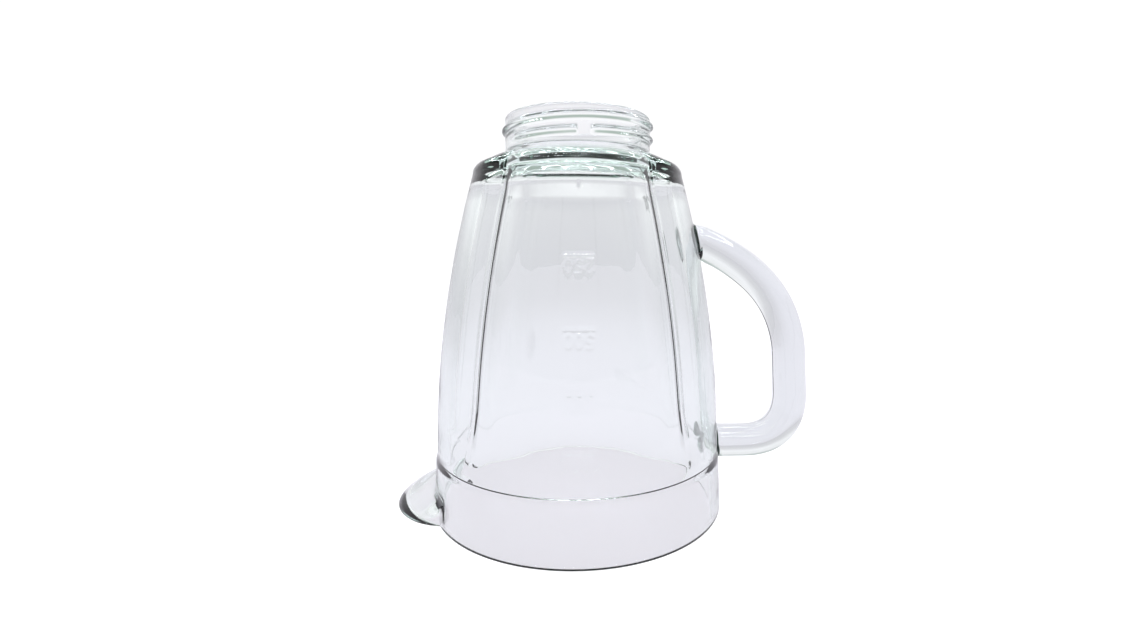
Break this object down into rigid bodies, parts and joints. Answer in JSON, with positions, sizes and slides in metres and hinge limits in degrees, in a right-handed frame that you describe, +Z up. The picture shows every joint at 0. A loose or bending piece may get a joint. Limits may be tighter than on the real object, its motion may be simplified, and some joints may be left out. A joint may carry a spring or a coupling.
{
  "type": "blender jar",
  "caption": "Clear pressed-glass blender jar standing upside down: threaded neck, fluted tapered body, pouring spout and D handle.",
  "frame": {"origin": "on the surface the jar stands on, under the middle of its bounding box; the jar's own axis is 13 mm from it towards the spout, at x = -0.013 m", "axes": "+Z up, from the mouth to the neck; +X towards the handle; the spout points to -X"},
  "size_m": [0.2017, 0.1386, 0.181],
  "materials": {
    "clear_glass": "fire-polished clear glass, faint grey-lilac cast",
    "thick_glass": "the same glass where it is thick, faint green"
  },
  "bodies": {
    "root": {"threaded_neck": "clear_glass", "shoulder": "thick_glass", "fluted_body": "clear_glass", "rim_band": "clear_glass", "pouring_spout": "thick_glass", "handle_upper_pad": "thick_glass", "handle_lower_pad": "thick_glass", "handle_bar": "clear_glass"}
  },
  "joints": []
}
